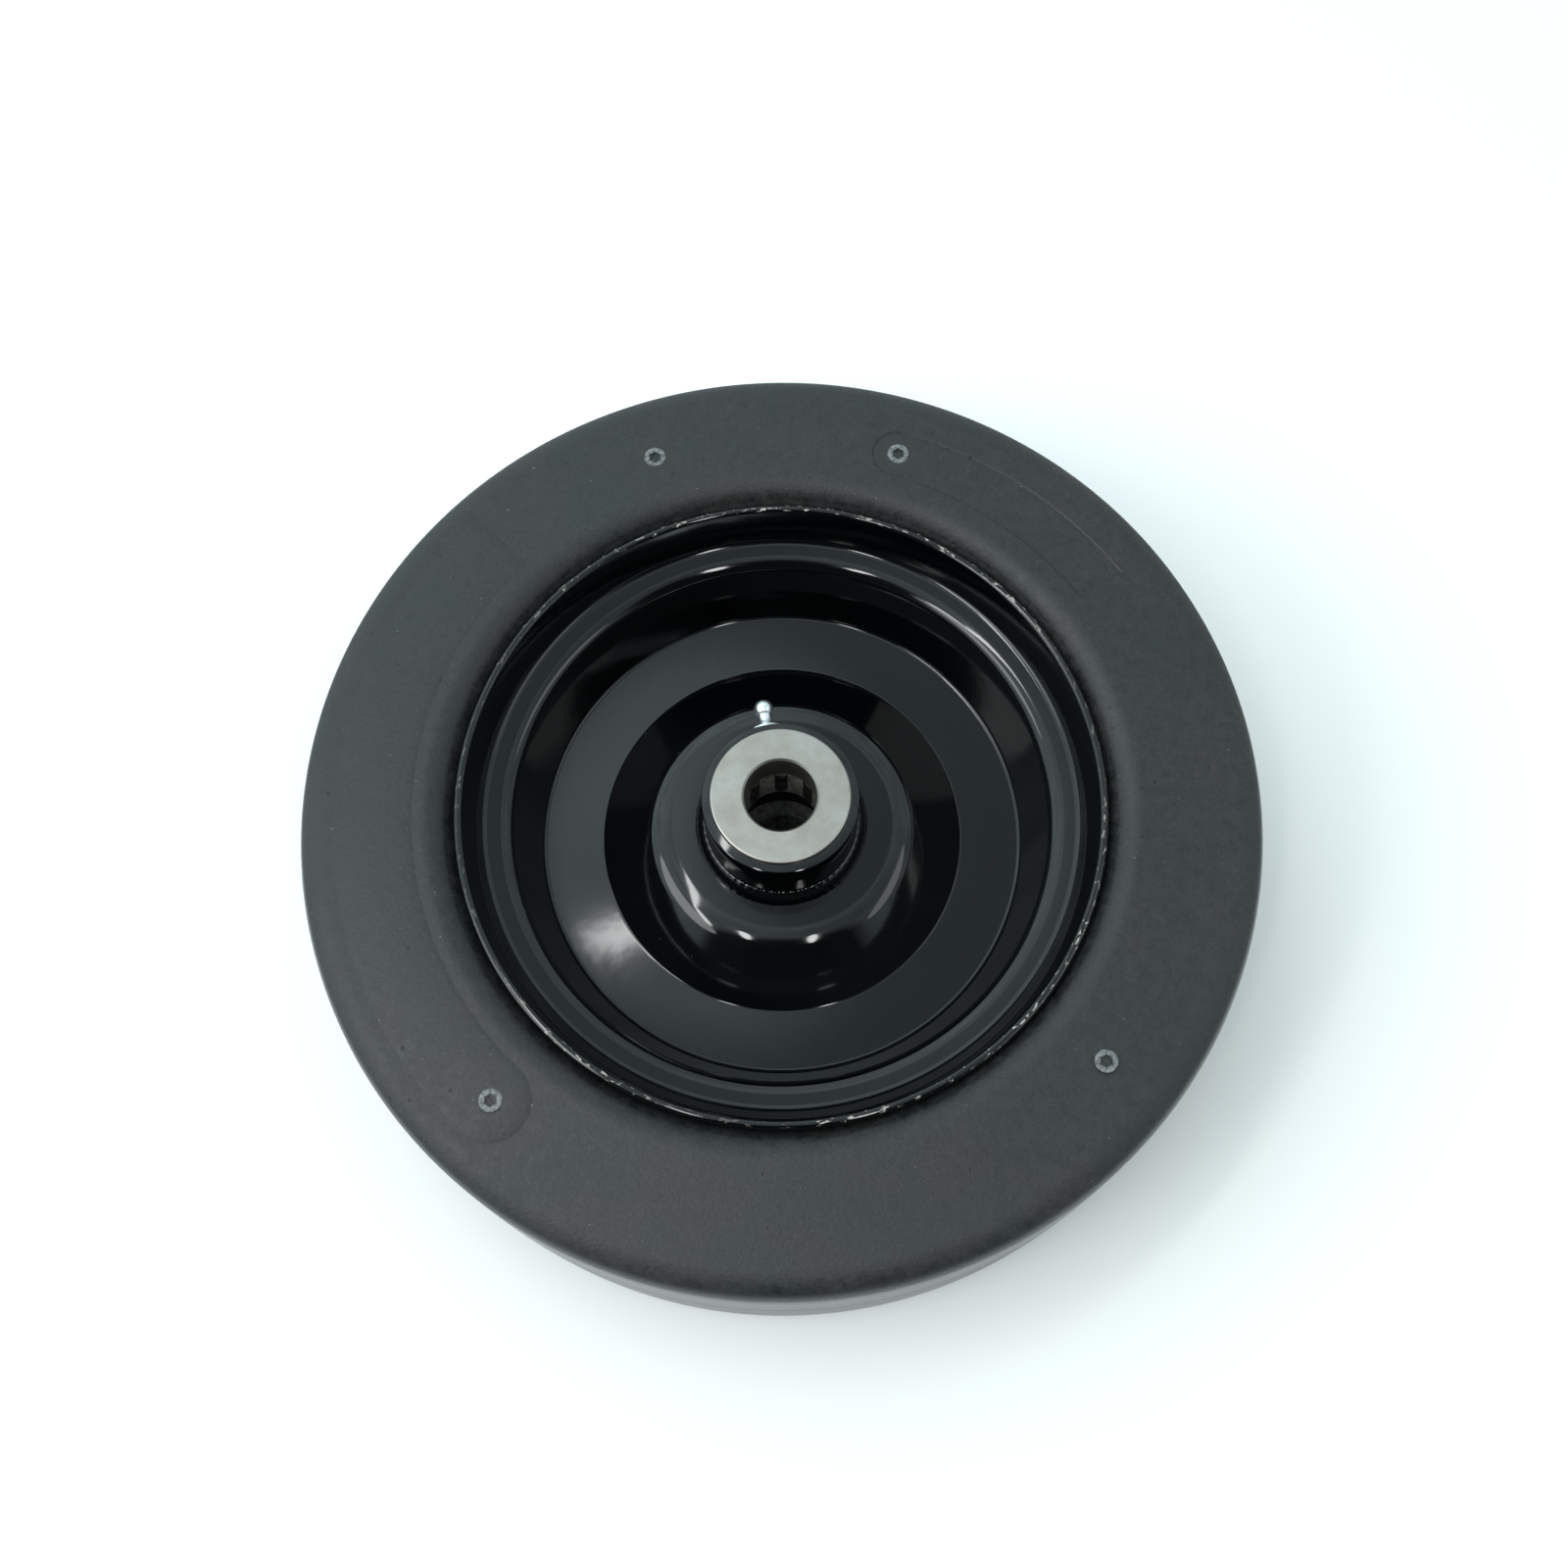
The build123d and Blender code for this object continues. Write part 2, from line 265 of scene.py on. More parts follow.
def pad_ends(pad, level):
    """The places of the two screws that held a pad's plate."""
    radius = (pad[0] + pad[1]) / 2
    slope = (SIDE_CREST[1] - SHOULDER_START[1]) / (SHOULDER_START[0] - SIDE_CREST[0])
    height = SIDE_CREST[1] - slope * (radius - SIDE_CREST[0]) + level
    turns = [math.radians(pad[2] + side * pad[3]) for side in (-1, 1)]
    return [Vector((radius * math.cos(turn), radius * math.sin(turn), height)) for turn in turns]


# Moulded rubber: satin charcoal with a fine grain, cloudy patches where the mould breathed,
# pin holes darkened with painted shade, and pale specks of dust. Pale rings on the screw heads'
# bosses are a painted highlight for the light their raised rims catch. The tread strip, which the
# mould's ring forms, is smoother. The grain is drawn at 0.9 mm, coarser than real.
def moulded_rubber():
    made, tree, shader, place = material("moulded_rubber")
    clouds = noise(tree, place, 24, 5, 0.65)
    patches = noise(tree, place, 3.0, 4, 0.65)
    grain = noise(tree, place, 0.9, 3, 0.75)
    radius = from_axis(tree, place)
    base = mix(tree, span(tree, clouds, 0.35, 0.65, 0, 1), linear("#191d1e"), linear("#201f1f"))
    tone = span(tree, sum_of(tree, "ADD", patches, grain), 0.7, 1.3, 0.35, 1.65)
    toned = add(tree, "ShaderNodeVectorMath", {0: base, "Scale": tone}, operation="SCALE").outputs["Vector"]
    # Pin holes: a dent in the relief below, and near-black painted shade in the colour.
    pin_holes_and_shade = spots(tree, place, 7.5, 0.28, 0.5)
    pin_hole_shaded_colour = mix(tree, pin_holes_and_shade, toned, linear("#050606"))
    streaks = add(tree, "ShaderNodeVectorMath", {0: place, 1: (1, 2.2, 1)}, operation="MULTIPLY").outputs[0]
    specks = sum_of(tree, "MULTIPLY", spots(tree, streaks, 5.5, 0.14, 0.34), span(tree, grain, 0.5, 0.6, 0, 0.8))
    marks = 1.0
    for spot in pad_ends(LONG_PAD, LONG_PAD_RISE) + pad_ends(SHORT_PAD, -SHORT_PAD_DEPTH):
        for side in (1, -1):
            centre = Vector((spot.x, spot.y * side, spot.z * side)) * MM
            apart = add(tree, "ShaderNodeVectorMath", {0: place, 1: centre}, operation="DISTANCE").outputs["Value"]
            marks = sum_of(tree, "MINIMUM", marks, apart)
    # Pale rings on the screw heads' bosses: a painted highlight for the light their raised rims catch, mixed in with
    # the same pale colour as the dust specks.
    head = span(tree, marks, (SCREW_HEAD_RADIUS - 0.4) * MM, SCREW_HEAD_RADIUS * MM, 1, 0)
    socket = span(tree, marks, 1.3 * MM, 1.9 * MM, 0, 1)
    head_ring_highlight = sum_of(tree, "MULTIPLY", sum_of(tree, "MULTIPLY", head, socket), span(tree, grain, 0.35, 0.6, 0.1, 0.75))
    dusted = mix(tree, sum_of(tree, "MAXIMUM", specks, head_ring_highlight), pin_hole_shaded_colour, linear("#8f9292"))
    strip = span(tree, radius, 125.6 * MM, 126.2 * MM, 0, 1)
    satin = span(tree, patches, 0.3, 0.7, 0.42, 0.62)
    rough = add(tree, "ShaderNodeMix", {"Factor": strip, "A": satin, "B": 0.28}).outputs["Result"]
    relief = sum_of(tree, "SUBTRACT", sum_of(tree, "ADD", grain, patches), pin_holes_and_shade)
    bump = add(tree, "ShaderNodeBump", {"Height": relief, "Strength": 0.8, "Distance": 0.16 * MM})
    tree.links.new(dusted, shader.inputs["Base Color"])
    tree.links.new(rough, shader.inputs["Roughness"])
    tree.links.new(bump.outputs["Normal"], shader.inputs["Normal"])
    shader.inputs["IOR"].default_value = 1.5
    return made


def tyre_side():
    """The front half of the tyre's outline, from the tread's middle round to its seat."""
    tread_edge = (TYRE_RADIUS - TREAD_CROWN, TREAD_HALF_WIDTH)
    side = [tuple(Vector(SHOULDER_START).lerp(SIDE_CREST, step / 6)) for step in range(1, 6)]
    return [
        (TYRE_RADIUS - PARTING_DEPTH, 0),
        (TYRE_RADIUS, PARTING_HALF_WIDTH),
        (TYRE_RADIUS - TREAD_CROWN / 2, TREAD_HALF_WIDTH * 0.7),
        (tread_edge[0], tread_edge[1] - TREAD_EDGE_ROUND),
        (tread_edge[0] - TREAD_EDGE_ROUND / 2, tread_edge[1] + TREAD_EDGE_ROUND / 2),
        *bulged(SHOULDER, SHOULDER_START, SHOULDER_BULGE, 8),
        *side,
        *bulged(SIDE_CREST, BEAD, BEAD_BULGE, 10),
        BEAD_FOOT,
        SEAT_UNDER_LIP,
        SEAT_UNDER_SHELF,
        (SEAT_RADIUS, SEAT_HEIGHT),
    ]


def slot_sheet(name, inner, outer, middle, half_span):
    """A flat curved slot with round ends, high above the tyre's side."""
    above = SIDE_CREST[1] + 5
    centre = (inner + outer) / 2
    start, end = math.radians(middle - half_span), math.radians(middle + half_span)
    piece = path(name, [(radius * math.cos(start), radius * math.sin(start), above) for radius in (inner, centre, outer)])
    bpy.ops.mesh.spin(steps=int(half_span), angle=end - start, center=(0, 0, 0), axis=(0, 0, 1))
    for turn, side in ((start, -1), (end, 1)):
        spoke = Vector((math.cos(turn), math.sin(turn)))
        bpy.ops.object.mode_set(mode="OBJECT")
        pick(piece, lambda at: at.xy.angle(spoke) < 0.001 and at.xy.length > (centre - 0.1) * MM)
        pivot = (spoke * centre).to_3d() + Vector((0, 0, above))
        bpy.ops.mesh.spin(steps=16, angle=math.pi * side, center=pivot * MM, axis=(0, 0, 1))
    bpy.ops.mesh.select_all(action="SELECT")
    bpy.ops.mesh.remove_doubles(threshold=0.01 * MM)
    bpy.ops.mesh.normals_make_consistent(inside=False)
    bpy.ops.object.mode_set(mode="OBJECT")
    return piece


def laid_slot(name, tyre, pad, rim, level, base):
    """A slot laid on the tyre's side, with a sloping rim up to its level and a base below."""
    piece = slot_sheet(name, *pad)
    apply_modifier(piece, "SHRINKWRAP", target=tyre, wrap_method="PROJECT", use_project_z=True,
                   use_negative_direction=True, use_positive_direction=False)
    bpy.ops.object.mode_set(mode="EDIT")
    bpy.ops.mesh.select_all(action="SELECT")
    bpy.ops.mesh.inset(thickness=rim * MM, use_boundary=True, use_even_offset=True)
    bpy.ops.transform.translate(value=(0, 0, level * MM))
    bpy.ops.mesh.select_all(action="DESELECT")
    bpy.ops.mesh.select_non_manifold()
    edge = math.copysign(0.05, base)
    bpy.ops.transform.translate(value=(0, 0, edge * MM))
    bpy.ops.mesh.extrude_region_move(TRANSFORM_OT_translate={"value": (0, 0, (base - edge) * MM)})
    bpy.ops.mesh.edge_face_add()
    clean_edit()
    return piece


def screw_star(place):
    """A six-pointed plug, the shape of a screw head's socket."""
    bpy.ops.object.select_all(action="DESELECT")
    bpy.ops.mesh.primitive_cylinder_add(
        vertices=24,
        radius=SCREW_STAR_RADIUS * MM,
        depth=2 * SCREW_STAR_DEPTH * MM,
        location=place * MM,
    )
    star = bpy.context.object
    settle(star)
    sixth = math.pi / 3
    pick(star, lambda at: abs(math.remainder(math.atan2(at.y - place.y * MM, at.x - place.x * MM), sixth)) < 0.3)
    bpy.ops.transform.resize(value=(0.68, 0.68, 1), center_override=place * MM)
    bpy.ops.object.mode_set(mode="OBJECT")
    return star


def screw_hole(place):
    """A round plug that clears the rubber under a screw head's boss."""
    radius = SCREW_HEAD_RADIUS - 0.4
    hole = turned("screw_hole", [(0, -1.2), (radius, -1.2), (radius, 2), (0, 2)], 48, closed=False)
    hole.data.transform(Matrix.Translation(place * MM))
    return hole


def screw_head(place):
    """The low round boss with a star socket that a screw head leaves."""
    rise = SCREW_HEAD_RISE
    outline = [
        (0, -1.5),
        (SCREW_HEAD_RADIUS, -1.5),
        (SCREW_HEAD_RADIUS, rise - 0.25),
        (SCREW_HEAD_RADIUS - 0.08, rise - 0.08),
        (SCREW_HEAD_RADIUS - 0.25, rise),
        (0, rise),
    ]
    head = turned("screw_head", outline, 48, closed=False)
    head.data.transform(Matrix.Translation(place * MM))
    cut(head, screw_star(place + Vector((0, 0, rise))))
    return head


def turned_over(piece, name):
    """A copy of a piece for the wheel's other side."""
    copy = bpy.data.objects.new(name, piece.data.copy())
    bpy.context.scene.collection.objects.link(copy)
    copy.data.transform(Matrix.Rotation(math.pi, 4, "X"))
    return copy


rubber = moulded_rubber()
front_side = tyre_side()
rear_side = [(radius, -height) for radius, height in reversed(front_side[1:])]
tyre = turned("tyre_rubber", front_side + rear_side, TYRE_STEPS)
long_pad = laid_slot("long_pad", tyre, LONG_PAD, LONG_PAD_EDGE, LONG_PAD_RISE, -0.6)
short_pad = laid_slot("short_pad", tyre, SHORT_PAD, SHORT_PAD_EDGE, -SHORT_PAD_DEPTH, 3)
cut(tyre, turned_over(short_pad, "short_pad_rear"))
cut(tyre, short_pad)
heads = []
for spot in pad_ends(LONG_PAD, LONG_PAD_RISE):
    cut(long_pad, screw_hole(spot))
    heads.append(screw_head(spot))
for spot in pad_ends(SHORT_PAD, -SHORT_PAD_DEPTH):
    hole = screw_hole(spot)
    cut(tyre, turned_over(hole, "screw_hole_rear"))
    cut(tyre, hole)
    heads.append(screw_head(spot))
relief = join([long_pad, *heads])
tyre = join([tyre, relief, turned_over(relief, "relief_rear")])
smooth(tyre, 30)
finish(tyre, rubber, "rubber", "tyre")


# Rim: two equal pressings of steel sheet, back to back and spot welded where they touch,
# dipped in gloss black enamel. The lip's edge is thinly coated and chipped in places.
SHEET = 2.5
LIP = (83.9, 34.6)
SHELF_OUTER = (79.3, 23.9)
SHELF_INNER = (72.2, 23.4)
WELL = (65.8, 2.5)
DOME_FOOT = (49.3, 2.5)
DOME_TOP = (33.0, 14.4)
RIM_HOLE = (20.9, 14.4)
RIM_BENDS = (2.0, 4.6, 1.3, 1.3, 12.0)
RACEWAY_RADIUS = 15.875
LIP_ROUND = 1.15
LIP_SQUARE_ABOVE = 33.3
LIP_CREST = 33.9
RIM_STEPS = 240


def bent(corners, bends, count):
    """A line through corners, with each inner corner rounded by its bend radius."""
    corners = [Vector(corner) for corner in corners]
    line = [tuple(corners[0])]
    for before, corner, after, bend in zip(corners, corners[1:], corners[2:], bends):
        back = (before - corner).normalized()
        ahead = (after - corner).normalized()
        half = back.angle(ahead) / 2
        reach = bend / math.tan(half)
        centre = corner + (back + ahead).normalized() * (bend / math.sin(half))
        start = corner + back * reach - centre
        sweep = start.angle_signed(corner + ahead * reach - centre)
        for step in range(count + 1):
            spoke = start.copy()
            spoke.rotate(Matrix.Rotation(-sweep * step / count, 2))
            line.append(tuple(centre + spoke))
    line.append(tuple(corners[-1]))
    return line


# Gloss enamel: nearly black with a cold tint, a little orange peel and settled dust. Where
# chips are asked for, short scrapes of primer show along the lip's crest.
def gloss_enamel(name, chips):
    made, tree, shader, place = material(name)
    peel = noise(tree, place, 5, 2, 0.4)
    radius = from_axis(tree, place)
    dusted = mix(tree, spots(tree, place, 9, 0.14, 0.3), linear("#020304"), linear("#2e3030"))
    parts = add(tree, "ShaderNodeSeparateXYZ", {"Vector": place}).outputs
    high = add(tree, "ShaderNodeMath", {0: parts["Z"]}, operation="ABSOLUTE").outputs[0]
    crest = span(tree, high, LIP_CREST * MM, (LIP_CREST + 0.2) * MM, 0, chips)
    turn = sum_of(tree, "ARCTAN2", parts["Y"], parts["X"])
    along = sum_of(tree, "MULTIPLY", turn, LIP[0] * MM / 3)
    scrape = add(tree, "ShaderNodeCombineXYZ", {"X": along, "Y": radius}).outputs[0]
    chipped = span(tree, noise(tree, scrape, 1.0, 4, 0.6), 0.58, 0.62, 0, 1)
    zones = span(tree, noise(tree, place, 60, 2, 0.5), 0.45, 0.6, 0.15, 1)
    bare = sum_of(tree, "MULTIPLY", sum_of(tree, "MULTIPLY", crest, chipped), zones)
    tree.links.new(mix(tree, bare, dusted, linear("#b4b0a6")), shader.inputs["Base Color"])
    greasy = span(tree, radius, RACEWAY_RADIUS * MM, (RACEWAY_RADIUS + 0.5) * MM, 0.7, 0.07)
    tree.links.new(sum_of(tree, "MAXIMUM", greasy, sum_of(tree, "MULTIPLY", bare, 0.45)), shader.inputs["Roughness"])
    bump = add(tree, "ShaderNodeBump", {"Height": peel, "Strength": 0.2, "Distance": 0.05 * MM})
    tree.links.new(bump.outputs["Normal"], shader.inputs["Normal"])
    shader.inputs["IOR"].default_value = 1.5
    return made


def rim_lip(piece, side):
    """The two corners of the lip's square edge, as radius and height."""
    corners = {}
    for vertex in piece.data.vertices:
        if vertex.co.z * side > LIP_SQUARE_ABOVE * MM:
            corner = Vector((vertex.co.xy.length, 0, vertex.co.z))
            corners[(round(corner.x / MM, 1), round(corner.z / MM, 1))] = corner
    return list(corners.values())


def rim_half(name, side):
    """One pressing: its face is spun, given the sheet's thickness, and its lip rounded."""
    corners = [LIP, SHELF_OUTER, SHELF_INNER, WELL, DOME_FOOT, DOME_TOP, RIM_HOLE]
    face = [(radius, height * side) for radius, height in bent(corners, RIM_BENDS, 10)]
    piece = turned(name, face, RIM_STEPS, closed=False)
    outward = piece.data.polygons[0].normal.z * side > 0
    apply_modifier(piece, "SOLIDIFY", thickness=SHEET * MM, offset=-1 if outward else 1, use_even_offset=True)
    bpy.ops.object.mode_set(mode="EDIT")
    clean_edit()
    for corner in rim_lip(piece, side):
        pick(piece, lambda at: abs(at.z - corner.z) < 0.01 * MM and abs(at.xy.length - corner.x) < 0.01 * MM)
        bpy.ops.mesh.bevel(offset=LIP_ROUND * MM, segments=6, profile=0.5, affect="EDGES")
        bpy.ops.object.mode_set(mode="OBJECT")
    smooth(piece, 40)
    return piece


rim_enamel = gloss_enamel("gloss_black_enamel_rim", 1)
finish(rim_half("rim_pressing_front", 1), rim_enamel, "rim_paint", "rim_half_front")
finish(rim_half("rim_pressing_rear", -1), rim_enamel, "rim_paint", "rim_half_rear")


# Hub tube: thick steel tube, bored as the rollers' raceway at each end and painted with
# the rim. A ring of weld, run in one pass, joins each rim half's plateau to the tube.
TUBE_RADIUS = 20.65
TUBE_HALF_LENGTH = 36.2
TUBE_BREAK = 0.6
RACEWAY_FOOT = 10.3
WAIST_RADIUS = 14.3
WELD_UP = 3.8
WELD_OUT = 2.75
WELD_CROWN = 0.45
RIPPLES = 58
STEPS_PER_RIPPLE = 4
RIPPLE_PINCH = 0.995
RIPPLE_DROP = 0.1


def tube_side():
    """The front half of the hub tube's outline, from its outside round its end to its waist."""
    return [
        (TUBE_RADIUS, 0),
        (TUBE_RADIUS, TUBE_HALF_LENGTH - TUBE_BREAK),
        (TUBE_RADIUS - TUBE_BREAK * 0.3, TUBE_HALF_LENGTH - TUBE_BREAK * 0.3),
        (TUBE_RADIUS - TUBE_BREAK, TUBE_HALF_LENGTH),
        (RACEWAY_RADIUS, TUBE_HALF_LENGTH),
        (RACEWAY_RADIUS, RACEWAY_FOOT),
        (WAIST_RADIUS, RACEWAY_FOOT),
    ]


def weld(name, side):
    """A ring of weld bead, pinched between the ripples that the torch left."""
    root = (TUBE_RADIUS - 0.4, DOME_TOP[1] - 0.4)
    toe_up = (TUBE_RADIUS, DOME_TOP[1] + WELD_UP)
    toe_out = (TUBE_RADIUS + WELD_OUT, DOME_TOP[1])
    outline = bulged(toe_out, toe_up, WELD_CROWN, 10) + [(root[0], toe_up[1]), root, (toe_out[0], root[1])]
    steps = RIPPLES * STEPS_PER_RIPPLE
    piece = turned(name, [(radius, height * side) for radius, height in outline], steps)
    pick(piece, lambda at: round(math.atan2(at.y, at.x) / (2 * math.pi) * steps) % STEPS_PER_RIPPLE == 0)
    bpy.ops.transform.resize(value=(RIPPLE_PINCH, RIPPLE_PINCH, 1), center_override=(0, 0, 0))
    bpy.ops.transform.translate(value=(0, 0, -RIPPLE_DROP * side * MM))
    bpy.ops.object.mode_set(mode="OBJECT")
    smooth(piece, 60)
    return piece


hub_enamel = gloss_enamel("gloss_black_enamel_hub", 0)
front_end = tube_side()
rear_end = [(radius, -height) for radius, height in reversed(front_end[1:])]
tube = turned("hub_tube_painted", front_end + rear_end, 160)
smooth(tube, 25)
finish(tube, hub_enamel, "rim_paint", "hub_tube")
finish(weld("weld_bead_front", 1), hub_enamel, "rim_paint", "hub_weld_front")
finish(weld("weld_bead_rear", -1), hub_enamel, "rim_paint", "hub_weld_rear")


# End bushings: turned and hardened steel rings whose flanges are the hub's end faces. The
# face is ground flat and left bare, with a thin film of oil and faint round tool marks.
FLANGE_RADIUS = 18.4
FLANGE_BEVEL = 0.5
HUB_HALF_LENGTH = 38.1
BORE_RADIUS = 9.6
BORE_BEVEL = 0.5
SPIGOT_END = 26.7


def ground_steel():
    made, tree, shader, place = material("ground_steel")
    radius = from_axis(tree, place)
    wheel_marks = add(tree, "ShaderNodeCombineXYZ", {"X": radius}).outputs[0]
    rings = noise(tree, wheel_marks, 0.35, 3, 0.6)
    stain = noise(tree, place, 7, 5, 0.65)
    base = mix(tree, span(tree, stain, 0.35, 0.7, 0, 1), linear("#a3a19c"), linear("#928e86"))
    base = mix(tree, span(tree, rings, 0.45, 0.75, 0, 0.35), base, linear("#7c7972"))
    tree.links.new(base, shader.inputs["Base Color"])
    tree.links.new(span(tree, rings, 0.2, 0.8, 0.34, 0.5), shader.inputs["Roughness"])
    bump = add(tree, "ShaderNodeBump", {"Height": rings, "Strength": 0.3, "Distance": 0.01 * MM})
    tree.links.new(bump.outputs["Normal"], shader.inputs["Normal"])
    shader.inputs["Metallic"].default_value = 1.0
    return made


def bushing(name, side):
    """A flanged bushing, with its outer edge and the mouth of its bore bevelled."""
    outline = [
        (BORE_RADIUS + BORE_BEVEL, HUB_HALF_LENGTH),
        (FLANGE_RADIUS - FLANGE_BEVEL, HUB_HALF_LENGTH),
        (FLANGE_RADIUS - FLANGE_BEVEL * 0.3, HUB_HALF_LENGTH - FLANGE_BEVEL * 0.3),
        (FLANGE_RADIUS, HUB_HALF_LENGTH - FLANGE_BEVEL),
        (FLANGE_RADIUS, TUBE_HALF_LENGTH),
        (RACEWAY_RADIUS, TUBE_HALF_LENGTH),
        (RACEWAY_RADIUS, SPIGOT_END),
        (BORE_RADIUS + BORE_BEVEL, SPIGOT_END),
        (BORE_RADIUS, SPIGOT_END + BORE_BEVEL),
        (BORE_RADIUS, HUB_HALF_LENGTH - BORE_BEVEL),
    ]
    piece = turned(name, [(radius, height * side) for radius, height in outline], 144)
    smooth(piece, 20)
    return piece


steel = ground_steel()
finish(bushing("end_ring_front", 1), steel, "bare_steel", "end_bushing_front")
finish(bushing("end_ring_rear", -1), steel, "bare_steel", "end_bushing_rear")


# Bearings: hardened steel rollers with ground sides, in a moulded nylon cage, both wet
# with grease. They are seen only down the bore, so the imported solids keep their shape.
def greased_steel():
    made, tree, shader, place = material("greased_bearing_steel")
    film = noise(tree, place, 2.5, 3)
    base = mix(tree, span(tree, film, 0.4, 0.65, 0, 1), linear("#6f6c66"), linear("#2a2620"))
    tree.links.new(base, shader.inputs["Base Color"])
    tree.links.new(span(tree, film, 0.2, 0.8, 0.2, 0.4), shader.inputs["Roughness"])
    shader.inputs["Metallic"].default_value = 0.9
    return made


def greased_nylon():
    made, tree, shader, place = material("moulded_grey_nylon")
    film = noise(tree, place, 1.8, 4)
    base = mix(tree, span(tree, film, 0.4, 0.65, 0, 1), linear("#8b8d8a"), linear("#57554c"))
    tree.links.new(base, shader.inputs["Base Color"])
    tree.links.new(span(tree, film, 0.2, 0.8, 0.25, 0.55), shader.inputs["Roughness"])
    bump = add(tree, "ShaderNodeBump", {"Height": film, "Strength": 0.5, "Distance": 0.2 * MM})
    tree.links.new(bump.outputs["Normal"], shader.inputs["Normal"])
    shader.inputs["IOR"].default_value = 1.5
    return made


roller_steel = greased_steel()
nylon = greased_nylon()
for name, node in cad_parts.items():
    if "roller" in name or name in ("grease_fitting_ball", "grease_fitting_spring"):
        node.data.materials.clear()
        node.data.materials.append(roller_steel)
    elif "cage" in name:
        node.data.materials.clear()
        node.data.materials.append(nylon)


# Grease fitting: a straight nipple turned from steel bar, bright zinc plated, and screwed
# into the tube's wall. Only its hexagon, hollow flare and ball-shaped head stand out.
FITTING_ANGLE = 99.0
FITTING_HEIGHT = 21.9
FITTING_TIP = 11.75
HEX_FLATS = 7.0
HEX_HEIGHT = 4.4
HEX_BEVEL = 0.3
COLLAR_RADIUS = 3.3
NECK_RADIUS = 1.9
NECK_FROM_TIP = 4.4
HEAD_RADIUS = 2.6
HEAD_FLAT = 1.6
MOUTH_RADIUS = 0.75
MOUTH_DEPTH = 0.45
FITTING_BORE = 1.35


def bright_zinc():
    made, tree, shader, place = material("bright_zinc_plate")
    bloom = noise(tree, place, 1.5)
    tree.links.new(mix(tree, bloom, linear("#f2f6f6"), linear("#d5dcdc")), shader.inputs["Base Color"])
    tree.links.new(span(tree, bloom, 0, 1, 0.2, 0.45), shader.inputs["Roughness"])
    shader.inputs["Metallic"].default_value = 1.0
    return made


def nipple_outline():
    """Half the nipple's section, counted outwards from the tube's wall."""
    neck = FITTING_TIP - NECK_FROM_TIP
    rise = neck - HEX_HEIGHT
    spread = COLLAR_RADIUS - NECK_RADIUS
    hollow = (rise ** 2 + spread ** 2) / (2 * spread)
    sweep = math.asin(rise / hollow)
    flare = [sweep * (1 - step / 8) for step in range(9)]
    middle = FITTING_TIP - math.sqrt(HEAD_RADIUS ** 2 - HEAD_FLAT ** 2)
    first = -math.acos(NECK_RADIUS / HEAD_RADIUS)
    last = math.acos(HEAD_FLAT / HEAD_RADIUS)
    turns = [first + (last - first) * step / 14 for step in range(15)]
    return [
        (FITTING_BORE, 0),
        (COLLAR_RADIUS, 0),
        *[(NECK_RADIUS + hollow * (1 - math.cos(turn)), neck - hollow * math.sin(turn)) for turn in flare],
        *[(HEAD_RADIUS * math.cos(turn), middle + HEAD_RADIUS * math.sin(turn)) for turn in turns],
        (MOUTH_RADIUS, FITTING_TIP),
        (MOUTH_RADIUS, FITTING_TIP - MOUTH_DEPTH),
        (FITTING_BORE, FITTING_TIP - MOUTH_DEPTH),
    ]


def hexagon():
    """The nipple's bevelled hexagon, with two of its flats level."""
    bpy.ops.object.select_all(action="DESELECT")
    bpy.ops.mesh.primitive_cylinder_add(
        vertices=6,
        radius=HEX_FLATS / 2 / math.cos(math.pi / 6) * MM,
        depth=HEX_HEIGHT * MM,
        location=(0, 0, HEX_HEIGHT / 2 * MM),
    )
    piece = bpy.context.object
    settle(piece)
    piece.data.transform(Matrix.Rotation(math.pi / 2, 4, "Z"))
    bpy.ops.object.mode_set(mode="EDIT")
    bpy.ops.mesh.select_all(action="SELECT")
    bpy.ops.mesh.bevel(offset=HEX_BEVEL * MM, segments=2, affect="EDGES")
    bpy.ops.object.mode_set(mode="OBJECT")
    return piece


nipple = join([turned("grease_nipple", nipple_outline(), 48), hexagon()])
angle = math.radians(FITTING_ANGLE)
foot = Vector((TUBE_RADIUS * math.cos(angle), TUBE_RADIUS * math.sin(angle), FITTING_HEIGHT))
lean = Matrix.Rotation(angle, 4, "Z") @ Matrix.Rotation(math.pi / 2, 4, "Y")
nipple.data.transform(Matrix.Translation(foot * MM) @ lean)
smooth(nipple, 30)
finish(nipple, bright_zinc(), "zinc", "grease_fitting")


# Stage: a white table under the wheel's hub ring, and a room that is brighter to the west
# and dark to the south, where the photographer stands.
FLOOR_SIZE = 8.0
ROOM_LEVEL = 0.62
ROOM_PATCHES = [
    ((-0.80, 0.25, 0.55), 0.3, 1.3),
    ((0.05, 0.80, 0.60), 0.5, 0.5),
    ((0.85, 0.10, 0.50), 0.5, 0.35),
]
SHADES = [
    ((0.0, -0.85, 0.52), 0.72, 0.35, 0.12),
    ((0.09, 0.29, 0.95), 0.985, 0.6, 0.5),
]

bpy.ops.object.select_all(action="DESELECT")
bpy.ops.mesh.primitive_plane_add(size=FLOOR_SIZE, location=(0, 0, cad_box[0][2]))
floor = bpy.context.object
floor.name = "floor"
settle(floor)
table, table_tree, table_shader, _ = material("white_table")
table_shader.inputs["Base Color"].default_value = linear("#f4f4f2")
table_shader.inputs["Roughness"].default_value = 0.7
floor.data.materials.append(table)

world = bpy.data.worlds.new("room")
bpy.context.scene.world = world
world.use_nodes = True
room = world.node_tree
view = add(room, "ShaderNodeTexCoord").outputs["Generated"]


def toward(direction, low):
    """How far a direction is inside a soft round patch of the room."""
    aim = Vector(direction).normalized()
    dot = add(room, "ShaderNodeVectorMath", {0: view, 1: aim}, operation="DOT_PRODUCT").outputs["Value"]
    return span(room, dot, low, 1, 0, 1)


